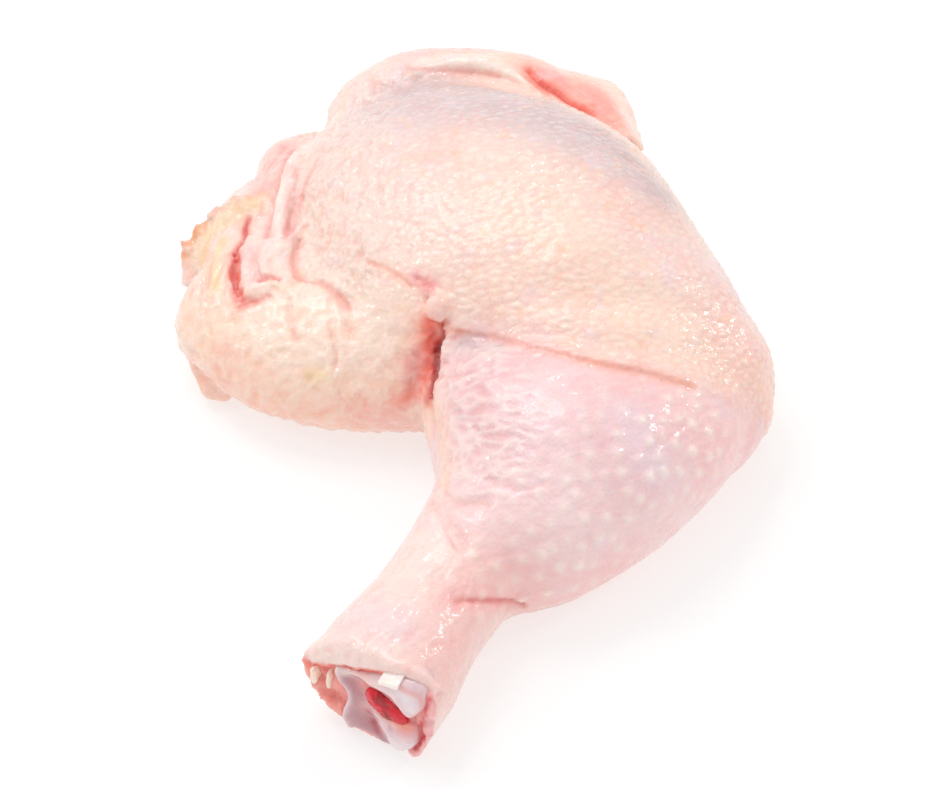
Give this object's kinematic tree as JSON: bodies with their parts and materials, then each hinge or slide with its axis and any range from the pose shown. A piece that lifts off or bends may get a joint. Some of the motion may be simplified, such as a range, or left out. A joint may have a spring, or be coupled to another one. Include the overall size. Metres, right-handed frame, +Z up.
{
  "type": "raw chicken leg quarter",
  "caption": "Raw chicken leg quarter lying skin side up: thigh with a piece of back, and bent drumstick cut off at the hock, where bone and marrow show.",
  "frame": {"origin": "middle of the footprint, on the surface that the leg lies on", "axes": "+Z up from the surface it lies on, +X from the piece of back towards the knee, -Y towards the cut hock"},
  "size_m": [0.1334, 0.1836, 0.0501],
  "materials": {
    "skin": "moist raw chicken skin, pale pink and cream, cobbled with feather follicles",
    "gristle": "wet grey-white gristle over bone",
    "marrow": "wet dark red marrow",
    "tendon": "satin cream tendon"
  },
  "bodies": {
    "root": {"leg_flesh": "skin", "shin_bone": "gristle", "bone_marrow": "marrow", "cartilage_tab": "tendon", "tendon_outer": "tendon", "tendon_inner": "tendon"}
  },
  "joints": []
}
